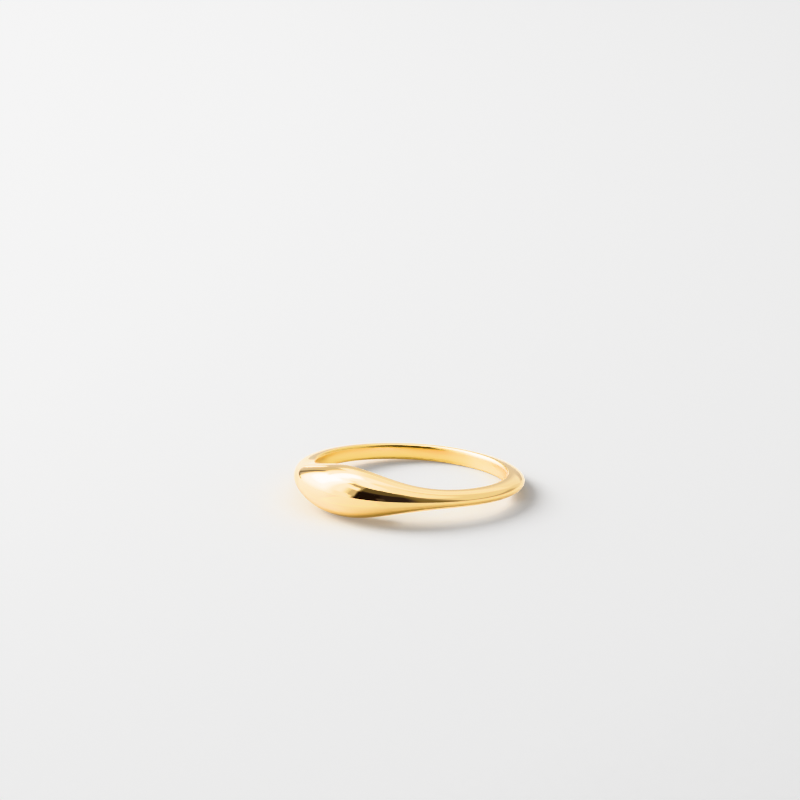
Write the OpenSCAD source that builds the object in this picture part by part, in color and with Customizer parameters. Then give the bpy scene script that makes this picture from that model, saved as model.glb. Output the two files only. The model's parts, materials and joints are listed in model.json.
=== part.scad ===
// A dome ring: one cast piece whose slim band widens and swells into a smooth dome.
// It lies on its side as it rests by itself: the dome faces -Y, +Z is up, and the
// origin is under the middle of the ring's box, on the surface that it lies on.

/* [Finger] */
// Inside diameter, across the finger
inside_d = 17.3; // [14:0.1:22]

/* [Band] */
// Width of the band along the finger, at the back
band_w = 1.45; // [1.2:0.05:2]
// Thickness of the band outward from the finger, at the back
band_t = 1.7; // [1.2:0.1:2.4]
// Fullness of the band's section: 2 is half an ellipse, and less has more of a ridge
band_fullness = 2; // [1.7:0.05:2.6]

/* [Dome] */
// Width of the dome along the finger, at its middle
dome_w = 4.5; // [3:0.1:8]
// Thickness of the dome outward from the finger, at its middle
dome_t = 3.3; // [2.5:0.1:5]
// Fullness of the dome's section: 2 is half an ellipse, and more is squarer
dome_fullness = 2.75; // [1.8:0.05:3]
// Angle from the dome's middle at which its extra width has fallen to a third
width_reach = 35.5; // [20:0.5:50]
// How the extra width falls away: 1 comes to a point, 2 is a bell, and more is blunter
width_power = 2; // [1.6:0.1:3]
// Angle from the dome's middle at which its extra thickness has fallen to a third
height_reach = 37.5; // [20:0.5:50]
// How the extra thickness falls away: 1 comes to a point, 2 is a bell, and more is blunter
height_power = 2.5; // [1.6:0.1:3]

/* [Inner edges] */
// How far the rounded inner edges reach outward from the finger
edge_reach = 0.25; // [0.2:0.05:0.5]
// How far the rounded inner edges dip towards the middle of the band
edge_dip = 0.32; // [0.2:0.02:0.4]

/* [Hidden] */

gold = "#e8c071";
bore_r = inside_d / 2;

// Stations around the finger, and steps over the outer curve and each rounded edge
stations = 120;
curve_steps = 20;
edge_steps = 4;
bore_facets = 240;

// How far round an ellipse each inner edge runs, which leaves a crisp corner at the finger
edge_sweep = 70;

// The swept body reaches inside the bore, so that the cylinder alone shapes the finger's wall:
// its lip lies this share of an edge step past the corner, and its core this far in
lip_share = 0.8;
core = 0.3;

// Steps of the search for the angle at which the ring rests
rest_steps = 24;
steepest_rest = 25;

// 1 at the dome's middle, falling smoothly to 0 around the band
function swell(angle, reach, power) = exp(-pow(abs(angle) / reach, power));

function mix(from, to, share) = from + (to - from) * share;

function half_width(angle) = mix(band_w, dome_w, swell(angle, width_reach, width_power)) / 2;

function thickness(angle) = mix(band_t, dome_t, swell(angle, height_reach, height_power));

function fullness(angle) = mix(band_fullness, dome_fullness, swell(angle, width_reach, width_power));

// Outer curve of the section, from its lower edge over the ridge to its upper edge
function outer_curve(half_w, thick, full) = [
    for (i = [0 : curve_steps])
        let (turn = mix(-90, 90, i / curve_steps))
        [
            edge_reach + (thick - edge_reach) * pow(cos(turn), 2 / full),
            half_w * sin(turn)
        ]
];

// Point of the rounded inner edge once it has turned that far from the top of the section
function edge_point(half_w, turn) = [
    edge_reach * (1 - sin(turn) / sin(edge_sweep)),
    half_w - edge_dip * (1 - cos(turn)) / (1 - cos(edge_sweep))
];

// Rounded inner edge, whose last side runs on through the finger's wall to a lip inside it
function inner_edge(half_w) =
    let (
        curve = [
            for (i = [1 : edge_steps - 1])
                edge_point(half_w, edge_sweep * i / edge_steps)
        ],
        corner = edge_point(half_w, edge_sweep),
        lip = corner + (corner - curve[edge_steps - 2]) * lip_share
    )
    concat(curve, [lip, [-core, lip[1]]]);

function mirrored(points) = [
    for (i = [len(points) - 1 : -1 : 0])
        [points[i][0], -points[i][1]]
];

// Closed section at one angle from the dome's middle: [outward from the finger, along the finger]
function section(angle) =
    let (edge = inner_edge(half_width(angle)))
    concat(
        mirrored(edge),
        outer_curve(half_width(angle), thickness(angle), fullness(angle)),
        edge
    );

// The section's points set around the finger, whose line is the Z axis
function swept_points() = [
    for (s = [0 : stations - 1])
        let (angle = 360 * s / stations, shown = angle > 180 ? angle - 360 : angle)
        for (p = section(shown))
            [(bore_r + p[0]) * sin(angle), -(bore_r + p[0]) * cos(angle), p[1]]
];

// Two triangles between each pair of neighbouring section points and stations
function swept_faces(count) = [
    for (s = [0 : stations - 1], k = [0 : count - 1])
        let (
            here = s * count,
            next = (s + 1) % stations * count,
            k2 = (k + 1) % count
        )
        each [
            [here + k, here + k2, next + k2],
            [here + k, next + k2, next + k]
        ]
];

// Height of the lowest point on the dome's side (-1) or the back (1), once the dome is raised by tilt
function lowest(points, side, tilt) = min([
    for (p = points)
        if (side * p[1] > 0)
            p[2] * cos(tilt) - p[1] * sin(tilt)
]);

// Tilt at which the dome's edge and the back of the band both touch the surface
function rest_tilt(points, low, high, left) =
    let (middle = (low + high) / 2)
    left == 0
        ? middle
        : lowest(points, -1, middle) < lowest(points, 1, middle)
            ? rest_tilt(points, middle, high, left - 1)
            : rest_tilt(points, low, middle, left - 1);

function tilted(points, tilt) = [
    for (p = points)
        [p[0], p[1] * cos(tilt) + p[2] * sin(tilt), p[2] * cos(tilt) - p[1] * sin(tilt)]
];

body = swept_points();
tilt = rest_tilt(body, 0, steepest_rest, rest_steps);
lying = tilted(body, tilt);
far_y = max([for (p = lying) p[1]]);
near_y = min([for (p = lying) p[1]]);
floor_z = min([for (p = lying) p[2]]);

// Body of the ring, swept around the finger
module swept_body() {
    polyhedron(points = body, faces = swept_faces(len(section(0))), convexity = 6);
}

// Bore for the finger, turned by half a station so that its seam lies inside a facet
module finger_bore() {
    rotate([0, 0, 180 / stations])
        cylinder(h = 2 * dome_w, r = bore_r, center = true, $fn = bore_facets);
}

// The whole ring, laid down on its dome's edge and the back of its band
module ring() {
    color(gold)
        translate([0, -(far_y + near_y) / 2, -floor_z])
            rotate([-tilt, 0, 0])
                difference() {
                    swept_body();
                    finger_bore();
                }
}

ring();
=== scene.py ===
import json
import math
from collections import namedtuple

import bpy
import numpy as np
from mathutils import Matrix, Vector


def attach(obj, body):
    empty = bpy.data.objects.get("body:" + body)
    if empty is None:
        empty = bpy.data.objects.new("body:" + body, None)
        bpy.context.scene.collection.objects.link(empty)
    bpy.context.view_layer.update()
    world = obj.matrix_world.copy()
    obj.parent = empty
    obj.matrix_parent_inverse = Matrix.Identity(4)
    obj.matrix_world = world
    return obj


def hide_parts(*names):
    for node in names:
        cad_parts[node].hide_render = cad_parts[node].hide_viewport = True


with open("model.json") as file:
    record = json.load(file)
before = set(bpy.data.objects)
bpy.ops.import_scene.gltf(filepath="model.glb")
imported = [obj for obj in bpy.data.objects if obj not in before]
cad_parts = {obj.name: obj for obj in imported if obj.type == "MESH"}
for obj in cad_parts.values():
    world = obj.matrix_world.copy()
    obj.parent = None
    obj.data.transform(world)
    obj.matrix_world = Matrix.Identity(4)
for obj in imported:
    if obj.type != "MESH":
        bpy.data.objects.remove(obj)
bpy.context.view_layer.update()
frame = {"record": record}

MM = 0.001

# Ring, in millimetres and degrees from the dome's middle
BAND_WIDTH = 1.45
BAND_THICKNESS = 1.7
BAND_FULLNESS = 2.0
DOME_WIDTH = 4.5
DOME_THICKNESS = 3.3
DOME_FULLNESS = 2.75
WIDTH_REACH = 35.5
WIDTH_POWER = 2.0
HEIGHT_REACH = 37.5
HEIGHT_POWER = 2.5
EDGE_REACH = 0.25
EDGE_DIP = 0.35
EDGE_SWEEP = math.radians(80)

# How far the finger's wall draws back at its ends, and its slope where it meets the rounded edges
WALL_CROWN = 0.024
WALL_SLOPE = 0.124

# Steps of the ring's mesh: around the finger, over the outer curve, over an inner edge, down the wall
STATIONS = 480
CURVE_STEPS = 64
EDGE_STEPS = 10
WALL_STEPS = 24

# Gold plate outside, from its deepest colour to its palest and from its smoothest to its roughest
GOLD_DEEP = (1.0, 0.71, 0.30)
GOLD_PALE = (1.0, 0.73, 0.325)
GOLD_ROUGHNESS = (0.035, 0.06)
GOLD_CLOUD_SCALE = 260
GOLD_CLOUD_DETAIL = 3
GOLD_CLOUD_SPAN = (0.3, 0.7)

# Gold plate on the finger's wall, a deeper gold that paints the gold's reflections of itself there, and the
# distance in metres over which it gives way to the outside
GOLD_WALL_PAINTED = (1.0, 0.715, 0.225)
WALL_ROUGHNESS = 0.28
WALL_FADE = 0.0003

# Faint wiping marks in the gold, with their depth in metres
GOLD_MARK_SCALE = 1800
GOLD_MARK_DETAIL = 4
GOLD_MARK_STRENGTH = 0.05
GOLD_MARK_DEPTH = 0.00002

# Floor, in metres: how far it reaches, its colours by its grain, its finish and its own faint glow, painted
# light that lifts its shadows
FLOOR_REACH = 4.0
FLOOR_DARK = (0.78, 0.78, 0.78)
FLOOR_LIGHT = (0.82, 0.82, 0.82)
FLOOR_GRAIN_SCALE = 900
FLOOR_GRAIN_DETAIL = 5
FLOOR_ROUGHNESS = 0.9
FLOOR_PAINTED_FILL = 0.28

# Painted arc of light on the floor before the band, standing in for light that the gold throws there, round
# a middle of its own, in metres
PAINTED_THROWN_LIGHT = 0.27
THROWN_MIDDLE = (0.003, -0.0004, 0.0)
THROWN_INNER = (0.0060, 0.0072)
THROWN_OUTER = (0.0093, 0.0072)
THROWN_DIRECTION = (0.94, -0.342, 0.0)
THROWN_SPAN = (0.45, 0.7)

# Floor as the gold mirrors it, a painted reflection: its finish, its colours close by the ring (darker
# there, as painted shade) and in the open, and the colours of its painted glow
FLOOR_SHEEN_IOR = 2.0
FLOOR_SHEEN_ROUGHNESS = 0.4
FLOOR_COAT = 1.0
FLOOR_COAT_IOR = 2.0
FLOOR_COAT_ROUGHNESS = 0.85
MIRRORED_PAINTED_SHADE = (0.34, 0.31, 0.26)
MIRRORED_OPEN = (0.62, 0.61, 0.58)
PAINTED_GLOW_UNDER = (1.0, 0.84, 0.54)
PAINTED_GLOW_OPEN = (1.0, 0.98, 0.88)

# Distances from the ring's middle, in metres, over which the open floor begins outside and in the hole,
# where the mirrored floor's painted shade ends
OPEN_SPAN = (0.0096, 0.0126)
HOLE_SPAN = (0.0091, 0.0074)

# Painted glow of the mirrored floor: everywhere, then what each span of distances adds, in metres
PAINTED_MIRRORED_GLOW = 0.22
PAINTED_MIRRORED_GLOWS = [
    ((0.0091, 0.0074), 0.68),
    ((0.0096, 0.0104), 0.25),
    ((0.0108, 0.0128), 0.2),
]

# What the mirrored floor adds before the dome: its painted glow, direction, spread and distances, in metres
PAINTED_BEFORE_GLOW = 0.85
BEFORE_DIRECTION = (0.087, -0.996, 0.0)
BEFORE_SPAN = (0.9, 0.985)
BEFORE_FROM = (0.0112, 0.015)

# Camera, in degrees and metres: where it stands, round the ring from the dome's front, and its lens
CAMERA_AZIMUTH = 37.965
CAMERA_ELEVATION = 16.910
CAMERA_DISTANCE = 0.5626
CAMERA_CLIP = (0.01, 20)
SENSOR = 36.0

# Photograph's frame in pixels, and where it has the floor under the middle of the bore
IMAGE_SIDE = 800
PIXELS_PER_METRE = 10990
AIM_PIXEL = (410.81, 490.38)

# Room that the gold mirrors: a plain brightness, and patches laid over it in this order
ROOM_BRIGHTNESS = 1.0

# A patch's azimuths run from +Y towards +X and it leans by some degrees for each degree up
Patch = namedtuple("Patch", "name azimuths elevations fade_across fade_up lean brightness")
PATCHES = [
    Patch("ceiling", (0, 360), (76, 110), 0, 9, 0, 6.5),
    Patch("ceiling_side", (50, 108), (69, 90), 16, 6, 0, 4.5),
    Patch("upper_right", (345, 450), (60, 78), 20, 12, 0, 2.5),
    Patch("right_wall", (4, 84), (6, 24), 16, 7, 0, 0.62),
    Patch("low_right", (345, 450), (-10, 5), 16, 5, 0, 1.35),
    Patch("glow", (200, 342), (-12, 72), 14, 12, 0, 6.0),
    Patch("soft_top", (262, 335), (64, 77), 14, 6, 0, 8.5),
    Patch("soft_above", (318, 348), (48, 66), 18, 8, 0, 6.0),
    Patch("soft_left", (326, 352), (24, 47), 12, 10, 0, 2.3),
    Patch("window", (223, 285), (8, 66), 16, 22, 0, 22.0),
    Patch("core", (237, 277), (25, 57), 12, 10, 0, 110.0),
    Patch("high_window", (270, 320), (52, 65), 18, 9, 0, 60.0),
    Patch("window_bar", (272, 300), (43, 49), 10, 4, 0, 7.0),
    Patch("low_glow", (190, 214), (-12, 17), 10, 8, 0, 3.4),
    Patch("beyond_far", (324, 348), (5, 27), 8, 6, 0, 1.35),
    Patch("low_far", (324, 346), (-12, 9), 8, 3, 0, 0.75),
    Patch("beyond_left", (314, 331), (-12, 24), 8, 8, 0, 0.8),
    Patch("beyond_table", (288.5, 318), (-12, 37), 5, 8, 0, 0.75),
    Patch("bright_strip", (312.8, 315.6), (-6, 11), 1.5, 4, 0, 8.0),
    Patch("dim_side", (79, 120), (1, 70), 12, 5, 0, 0.42),
    Patch("dark_side", (93, 120), (0, 73), 10, 5, 0, 0.23),
    Patch("dark_top", (104, 176), (48, 75), 12, 9, 0, 0.16),
    Patch("dark_room", (116, 185), (0, 50), 12, 5, -0.17, 0.05),
    Patch("blackest", (148, 184), (0, 42), 8, 4, -0.12, 0.027),
    Patch("stripe", (141, 151), (5, 20), 4, 6, 0, 0.11),
    Patch("beam", (172, 220), (60, 73), 8, 6, 0, 0.55),
    Patch("gap", (180, 204), (46, 57), 5, 5, 0, 5.5),
    Patch("stand", (183, 194), (13, 44), 3, 5, -0.1, 0.7),
    Patch("table_edge", (298, 303), (-4, 34), 3, 5, -0.15, 0.28),
    Patch("table_line", (280, 303), (-1, 3.3), 4, 2, 0, 0.3),
]

# Tints of the room's dark, dim and bright parts, and the brightness over which each gives way to the next
DARK_TINT = (1.0, 1.02, 1.95)
DARK_SPAN = (0.03, 0.2)
DIM_TINT = (1.0, 0.9, 0.84)
DIM_SPAN = (0.6, 1.0)
BRIGHT_TINT = (1.0, 1.0, 1.0)

# What the floor receives from the room, straight and by way of the gold: a limit, and a share of it
AMBIENT_LIMIT = 12.0
AMBIENT_SHARE = 0.096
GLINT_LIMIT = 20.0
GLINT_SHARE = 0.22

# Diffuse depths between which a ray counts as one that left the floor
BOUNCE_SPAN = (0.4, 0.6)

# What the camera itself sees of the room, beyond the floor
BACKDROP_BRIGHTNESS = 0.8
BACKDROP_TINT = (1.0, 1.0, 1.0)

# Lamp on the window's side, in degrees, metres and watts
LAMP_AZIMUTH = 259
LAMP_ELEVATION = 30
LAMP_DISTANCE = 0.4
LAMP_WIDTH = 0.324
LAMP_POWER = 2.08


class NodeMaker:
    """Adds nodes to a tree and links their inputs."""

    def __init__(self, tree):
        self.tree = tree

    def fill(self, socket, value):
        if isinstance(value, bpy.types.NodeSocket):
            self.tree.links.new(value, socket)
        else:
            socket.default_value = value

    def math(self, operation, *values):
        node = self.tree.nodes.new("ShaderNodeMath")
        node.operation = operation
        for socket, value in zip(node.inputs, values):
            self.fill(socket, value)
        return node.outputs[0]

    def vector(self, operation, *values):
        node = self.tree.nodes.new("ShaderNodeVectorMath")
        node.operation = operation
        for socket, value in zip(node.inputs, values):
            self.fill(socket, value)
        return node.outputs["Value" if operation in ("LENGTH", "DOT_PRODUCT") else "Vector"]

    def noise(self, place, scale, detail):
        node = self.tree.nodes.new("ShaderNodeTexNoise")
        self.fill(node.inputs["Vector"], place)
        node.inputs["Scale"].default_value = scale
        node.inputs["Detail"].default_value = detail
        return node.outputs["Fac"]

    def map_range(self, value, span, kind="LINEAR"):
        node = self.tree.nodes.new("ShaderNodeMapRange")
        node.interpolation_type = kind
        self.fill(node.inputs["Value"], value)
        node.inputs["From Min"].default_value, node.inputs["From Max"].default_value = span
        return node

    def stretch(self, value, span, result_span):
        """Value's span stretched over the result's span."""
        node = self.map_range(value, span)
        node.inputs["To Min"].default_value, node.inputs["To Max"].default_value = result_span
        return node.outputs["Result"]

    def rise(self, value, span):
        """Smooth step of value from 0 at the span's start to 1 at its end."""
        return self.map_range(value, span, "SMOOTHSTEP").outputs["Result"]

    def lerp(self, share, low, high):
        """Number low where share is 0 and high where it is 1."""
        node = self.tree.nodes.new("ShaderNodeMix")
        node.clamp_factor = False
        self.fill(node.inputs["Factor"], share)
        self.fill(node.inputs["A"], low)
        self.fill(node.inputs["B"], high)
        return node.outputs["Result"]

    def blend(self, share, low, high):
        """Colour low where share is 0 and high where it is 1."""
        node = self.tree.nodes.new("ShaderNodeMix")
        node.data_type = "RGBA"
        colour_inputs = [i for i in node.inputs if i.type == "RGBA"]
        colour_output = next(o for o in node.outputs if o.type == "RGBA")
        self.fill(node.inputs["Factor"], share)
        self.fill(colour_inputs[0], low)
        self.fill(colour_inputs[1], high)
        return colour_output

    def towards(self, place, direction, distance):
        """Cosine of the angle between a place at that distance and a direction."""
        return self.math("DIVIDE", self.vector("DOT_PRODUCT", place, direction), distance)


def opaque(colour):
    return (*colour, 1)


def mix(start, end, share):
    return start + (end - start) * share


def direction(azimuth, elevation):
    """Unit vector by azimuth from +Y towards +X and by elevation, in degrees."""
    azimuth = math.radians(azimuth)
    elevation = math.radians(elevation)
    return Vector((
        math.sin(azimuth) * math.cos(elevation),
        math.cos(azimuth) * math.cos(elevation),
        math.sin(elevation),
    ))


def bore_mount():
    return next(m for m in frame["record"]["mounts"] if m["name"] == "finger_bore")


def swell(angle, reach, power):
    """1 at the dome's middle, falling smoothly to 0 around the band."""
    return math.exp(-(abs(angle) / reach) ** power)


def section(angle):
    """Closed section at one angle, outward and along the finger, from the lower edge over the ridge."""
    widening = swell(angle, WIDTH_REACH, WIDTH_POWER)
    half_width = mix(BAND_WIDTH, DOME_WIDTH, widening) / 2
    thickness = mix(BAND_THICKNESS, DOME_THICKNESS, swell(angle, HEIGHT_REACH, HEIGHT_POWER))
    fullness = mix(BAND_FULLNESS, DOME_FULLNESS, widening)

    turn = np.linspace(-math.pi / 2, math.pi / 2, CURVE_STEPS + 1)
    outward = EDGE_REACH + (thickness - EDGE_REACH) * np.abs(np.cos(turn)) ** (2 / fullness)
    along = half_width * np.sin(turn)

    edge_turn = np.linspace(0, EDGE_SWEEP, EDGE_STEPS + 1)[1:]
    edge_outward = EDGE_REACH - (EDGE_REACH - WALL_CROWN) * np.sin(edge_turn) / math.sin(EDGE_SWEEP)
    edge_along = half_width - EDGE_DIP * (1 - np.cos(edge_turn)) / (1 - math.cos(EDGE_SWEEP))

    wall_end = half_width - EDGE_DIP
    wall_along = wall_end * np.cos(np.linspace(0, math.pi, WALL_STEPS + 1)[1:-1])
    wall_power = WALL_SLOPE * wall_end / WALL_CROWN
    wall_outward = WALL_CROWN * np.abs(wall_along / wall_end) ** wall_power
    return (
        np.concatenate([edge_outward[::-1], outward, edge_outward, wall_outward]),
        np.concatenate([-edge_along[::-1], along, edge_along, wall_along]),
    )


def ring_points(radius):
    """Points of the swept section, by station around the finger and by step round the section."""
    rows = []
    for station in range(STATIONS):
        degrees = 360 * station / STATIONS
        outward, along = section(degrees if degrees <= 180 else degrees - 360)
        angle = math.radians(degrees)
        reach = radius + outward
        rows.append(np.stack([reach * math.sin(angle), -reach * math.cos(angle), along], axis=1))
    return np.array(rows)


def grid_faces(stations, steps):
    """Four corners of each face between neighbouring stations and steps, closed both ways."""
    station = np.arange(stations)[:, None]
    step = np.arange(steps)[None, :]
    here = station * steps
    after = (station + 1) % stations * steps
    beside = (step + 1) % steps
    corners = [here + step, here + beside, after + beside, after + step]
    return np.stack(corners, axis=-1).reshape(-1, 4)


def ring_mesh():
    """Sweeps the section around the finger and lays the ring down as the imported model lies."""
    bore = bore_mount()
    points = ring_points(bore["dims"]["r_mm"])
    faces = grid_faces(STATIONS, points.shape[1])

    axis = Vector(bore["axis"]).normalized()
    lay = Vector((0, 0, 1)).rotation_difference(axis).to_matrix().to_4x4()
    place = Matrix.Translation(Vector(bore["pos_m"])) @ lay @ Matrix.Scale(MM, 4)

    mesh = bpy.data.meshes.new("ring_surface")
    mesh.from_pydata(points.reshape(-1, 3).tolist(), [], faces.tolist())
    mesh.transform(place)
    mesh.update()
    mesh.polygons.foreach_set("use_smooth", [True] * len(mesh.polygons))
    return mesh


def new_material(name):
    """Material with its node maker, its first shader and the place on the object, in metres."""
    material = bpy.data.materials.new(name)
    material.use_nodes = True
    tree = material.node_tree
    place = tree.nodes.new("ShaderNodeTexCoord").outputs["Object"]
    return material, NodeMaker(tree), tree.nodes["Principled BSDF"], place


def wall_share(make, place):
    """1 on the finger's wall and 0 outside it, by the distance from the bore's axis."""
    bore = bore_mount()
    from_middle = make.vector("SUBTRACT", place, bore["pos_m"])
    across = make.vector("CROSS_PRODUCT", from_middle, bore["axis"])
    wall = (bore["dims"]["r_mm"] + WALL_CROWN) * MM
    return make.rise(make.vector("LENGTH", across), (wall + WALL_FADE, wall))


def gold_material():
    """Polished gold plate with faint wiping marks and a slightly uneven shine, and a deeper gold on the
    finger's wall that paints its reflections of itself there.
    """
    material, make, shader, place = new_material("polished_gold")
    shader.inputs["Metallic"].default_value = 1.0

    cloud = make.noise(place, GOLD_CLOUD_SCALE, GOLD_CLOUD_DETAIL)
    wall = wall_share(make, place)
    plate = make.blend(cloud, opaque(GOLD_DEEP), opaque(GOLD_PALE))
    # Finger's wall: deeper gold, a painted reflection of the gold in itself; its roughness below is real
    make.fill(shader.inputs["Base Color"], make.blend(wall, plate, opaque(GOLD_WALL_PAINTED)))
    polish = make.stretch(cloud, GOLD_CLOUD_SPAN, GOLD_ROUGHNESS)
    make.fill(shader.inputs["Roughness"], make.lerp(wall, polish, WALL_ROUGHNESS))

    marks = make.noise(place, GOLD_MARK_SCALE, GOLD_MARK_DETAIL)
    bump = material.node_tree.nodes.new("ShaderNodeBump")
    bump.inputs["Strength"].default_value = GOLD_MARK_STRENGTH
    bump.inputs["Distance"].default_value = GOLD_MARK_DEPTH
    make.fill(bump.inputs["Height"], marks)
    make.fill(shader.inputs["Normal"], bump.outputs["Normal"])
    return material


def painted_thrown_light(make, place):
    """Painted light of the arc on the floor before the band, which fades across the arc and at its ends."""
    from_middle = make.vector("SUBTRACT", place, THROWN_MIDDLE)
    distance = make.vector("LENGTH", from_middle)
    across = make.math("MULTIPLY", make.rise(distance, THROWN_INNER), make.rise(distance, THROWN_OUTER))
    ends = make.rise(make.towards(from_middle, THROWN_DIRECTION, distance), THROWN_SPAN)
    return make.math("MULTIPLY", make.math("MULTIPLY", across, ends), PAINTED_THROWN_LIGHT)


def painted_mirrored_glow(make, place, distance):
    """Painted glow of the mirrored floor by distance from the ring's middle, and more before the dome."""
    glow = PAINTED_MIRRORED_GLOW
    for span, brightness in PAINTED_MIRRORED_GLOWS:
        glow = make.math("ADD", glow, make.math("MULTIPLY", make.rise(distance, span), brightness))
    before = make.rise(make.towards(place, BEFORE_DIRECTION, distance), BEFORE_SPAN)
    before = make.math("MULTIPLY", before, make.rise(distance, BEFORE_FROM))
    return make.math("ADD", glow, make.math("MULTIPLY", before, PAINTED_BEFORE_GLOW))


def fill_painted_mirrored_floor(make, shader, place):
    """Sets the floor that the gold mirrors, a painted reflection: sheenier than the board, darker close by
    the ring as painted shade, and with a painted glow that is warmer there.
    """
    distance = make.vector("LENGTH", place)
    in_open = make.math("ADD", make.rise(distance, OPEN_SPAN), make.rise(distance, HOLE_SPAN))
    # Darker surface close by the ring: painted shade in the gold's reflection
    surface = make.blend(in_open, opaque(MIRRORED_PAINTED_SHADE), opaque(MIRRORED_OPEN))
    glow = make.blend(in_open, opaque(PAINTED_GLOW_UNDER), opaque(PAINTED_GLOW_OPEN))
    make.fill(shader.inputs["Base Color"], surface)
    make.fill(shader.inputs["Emission Color"], glow)
    # Emission: painted glow that brightens the gold's reflection of this floor
    make.fill(shader.inputs["Emission Strength"], painted_mirrored_glow(make, place, distance))
    shader.inputs["Roughness"].default_value = FLOOR_SHEEN_ROUGHNESS
    shader.inputs["IOR"].default_value = FLOOR_SHEEN_IOR
    shader.inputs["Coat Weight"].default_value = FLOOR_COAT
    shader.inputs["Coat IOR"].default_value = FLOOR_COAT_IOR
    shader.inputs["Coat Roughness"].default_value = FLOOR_COAT_ROUGHNESS


def floor_material():
    """Pale matt board with a painted glow of its own that lifts its shadows and a painted arc of light, and
    another floor with painted light for the gold to mirror.
    """
    material, make, board, place = new_material("pale_floor")
    grain = make.noise(place, FLOOR_GRAIN_SCALE, FLOOR_GRAIN_DETAIL)
    paper = make.blend(grain, opaque(FLOOR_DARK), opaque(FLOOR_LIGHT))
    make.fill(board.inputs["Base Color"], paper)
    make.fill(board.inputs["Emission Color"], paper)
    # Emission of the board: a painted even glow that lifts its shadows, plus the painted arc of light
    make.fill(board.inputs["Emission Strength"], make.math("ADD", painted_thrown_light(make, place), FLOOR_PAINTED_FILL))
    board.inputs["Roughness"].default_value = FLOOR_ROUGHNESS
    board.inputs["Specular IOR Level"].default_value = 0.0

    nodes = material.node_tree.nodes
    mirrored = nodes.new("ShaderNodeBsdfPrincipled")
    fill_painted_mirrored_floor(make, mirrored, place)
    # Glossy rays see the painted mirrored floor, all other rays the board
    choice = nodes.new("ShaderNodeMixShader")
    make.fill(choice.inputs[0], nodes.new("ShaderNodeLightPath").outputs["Is Glossy Ray"])
    make.fill(choice.inputs[1], board.outputs[0])
    make.fill(choice.inputs[2], mirrored.outputs[0])
    make.fill(nodes["Material Output"].inputs["Surface"], choice.outputs[0])
    return material


def add_object(name, data):
    made = bpy.data.objects.new(name, data)
    bpy.context.scene.collection.objects.link(made)
    return made


def add_ring():
    ring = add_object("ring_polished", ring_mesh())
    ring.data.materials.append(gold_material())
    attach(ring, "root")
    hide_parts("ring")


def add_floor():
    mesh = bpy.data.meshes.new("floor")
    turns = [(-1, -1), (1, -1), (1, 1), (-1, 1)]
    mesh.from_pydata([(x * FLOOR_REACH, y * FLOOR_REACH, 0) for x, y in turns], [], [(0, 1, 2, 3)])
    mesh.materials.append(floor_material())
    floor = add_object("floor", mesh)


def add_camera():
    """Camera at the photograph's viewing angle, with the bore's middle at the photograph's place for it."""
    back = direction(180 - CAMERA_AZIMUTH, CAMERA_ELEVATION)
    right = direction(90 - CAMERA_AZIMUTH, 0)
    up = back.cross(right)
    aim = Vector((*bore_mount()["pos_m"][:2], 0))
    across, down = [(pixel - IMAGE_SIDE / 2) / PIXELS_PER_METRE for pixel in AIM_PIXEL]
    stand = aim + back * CAMERA_DISTANCE - right * across + up * down

    data = bpy.data.cameras.new("camera")
    data.sensor_width = SENSOR
    data.lens = SENSOR * PIXELS_PER_METRE * CAMERA_DISTANCE / IMAGE_SIDE
    data.clip_start, data.clip_end = CAMERA_CLIP
    camera = add_object("camera", data)
    camera.matrix_world = Matrix.Translation(stand) @ Matrix((right, up, back)).transposed().to_4x4()
    bpy.context.scene.camera = camera


def patch_share(make, azimuth, elevation, patch):
    """How much of a direction belongs to a patch, from 0 to 1."""
    left, right = patch.azimuths
    low, high = patch.elevations
    half_fade = patch.fade_up / 2
    above = make.rise(elevation, (low - half_fade, low + half_fade))
    below = make.rise(elevation, (high + half_fade, high - half_fade))
    share = make.math("MULTIPLY", above, below)
    if right - left >= 360:
        return share

    upright = make.math("SUBTRACT", azimuth, make.math("MULTIPLY", elevation, patch.lean))
    from_far_side = make.math("SUBTRACT", upright, (left + right) / 2 - 180)
    turned = make.math("FLOORED_MODULO", from_far_side, 360.0)
    offset = make.math("ABSOLUTE", make.math("SUBTRACT", turned, 180.0))
    half = (right - left) / 2
    half_fade = patch.fade_across / 2
    return make.math("MULTIPLY", share, make.rise(offset, (half + half_fade, half - half_fade)))


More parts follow.
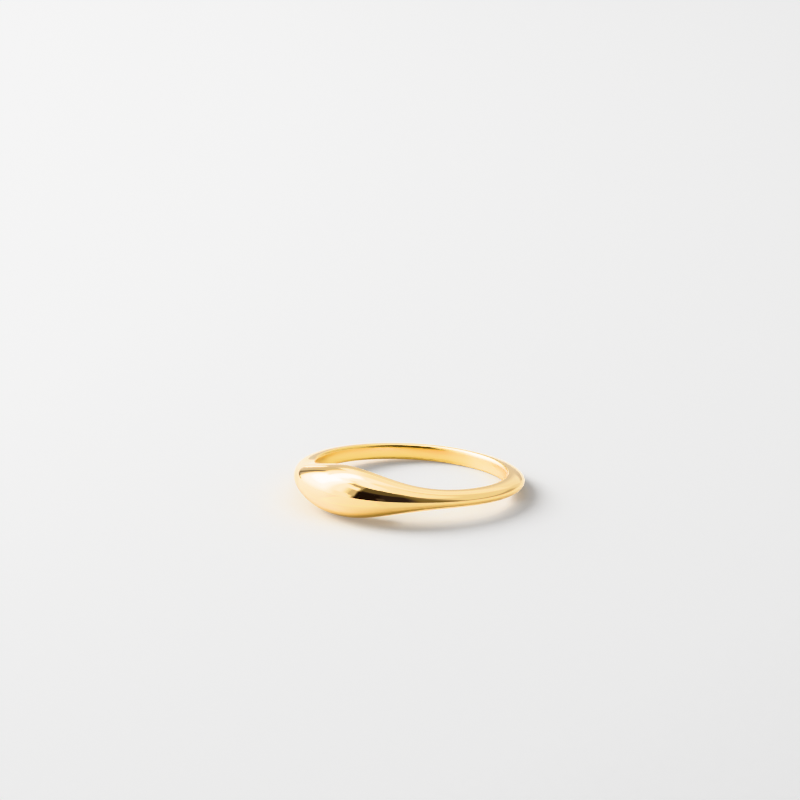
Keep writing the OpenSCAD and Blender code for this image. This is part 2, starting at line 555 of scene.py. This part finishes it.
def add_room():
    """World of soft patches: bright as it is in the gold's reflections, and gentler on the floor."""
    world = bpy.data.worlds.new("room")
    bpy.context.scene.world = world
    world.use_nodes = True
    nodes = world.node_tree.nodes
    make = NodeMaker(world.node_tree)

    split = nodes.new("ShaderNodeSeparateXYZ")
    make.fill(split.inputs[0], nodes.new("ShaderNodeTexCoord").outputs["Generated"])
    azimuth = make.math("DEGREES", make.math("ARCTAN2", split.outputs["X"], split.outputs["Y"]))
    elevation = make.math("DEGREES", make.math("ARCSINE", split.outputs["Z"]))
    brightness = ROOM_BRIGHTNESS
    for patch in PATCHES:
        brightness = make.lerp(patch_share(make, azimuth, elevation, patch), brightness, patch.brightness)

    path = nodes.new("ShaderNodeLightPath")
    ambient = make.math("MULTIPLY", make.math("MINIMUM", brightness, AMBIENT_LIMIT), AMBIENT_SHARE)
    glint = make.math("MULTIPLY", make.math("MINIMUM", brightness, GLINT_LIMIT), GLINT_SHARE)
    bounced = make.rise(path.outputs["Diffuse Depth"], BOUNCE_SPAN)
    mirrored = make.lerp(bounced, brightness, glint)
    seen = make.lerp(path.outputs["Is Glossy Ray"], ambient, mirrored)
    seen = make.lerp(path.outputs["Is Camera Ray"], seen, BACKDROP_BRIGHTNESS)

    dim = make.blend(make.rise(brightness, DARK_SPAN), opaque(DARK_TINT), opaque(DIM_TINT))
    tint = make.blend(make.rise(brightness, DIM_SPAN), dim, opaque(BRIGHT_TINT))
    tint = make.blend(path.outputs["Is Camera Ray"], tint, opaque(BACKDROP_TINT))
    make.fill(nodes["Background"].inputs["Strength"], seen)
    make.fill(nodes["Background"].inputs["Color"], tint)


def add_lamp():
    """Soft round lamp aimed at the ring, which gives the floor its shadow and isn't mirrored."""
    towards = direction(LAMP_AZIMUTH, LAMP_ELEVATION)
    data = bpy.data.lights.new("window_light", "AREA")
    data.shape = "DISK"
    data.size = LAMP_WIDTH
    data.energy = LAMP_POWER
    lamp = add_object("window_light", data)
    turn = towards.to_track_quat("Z", "Y").to_matrix().to_4x4()
    lamp.matrix_world = Matrix.Translation(towards * LAMP_DISTANCE) @ turn
    lamp.visible_glossy = False
    lamp.visible_camera = False


def set_colour_view():
    view = bpy.context.scene.view_settings
    view.view_transform = "Khronos PBR Neutral"
    view.look = "None"


add_camera()
add_ring()
add_floor()
add_room()
add_lamp()
set_colour_view()
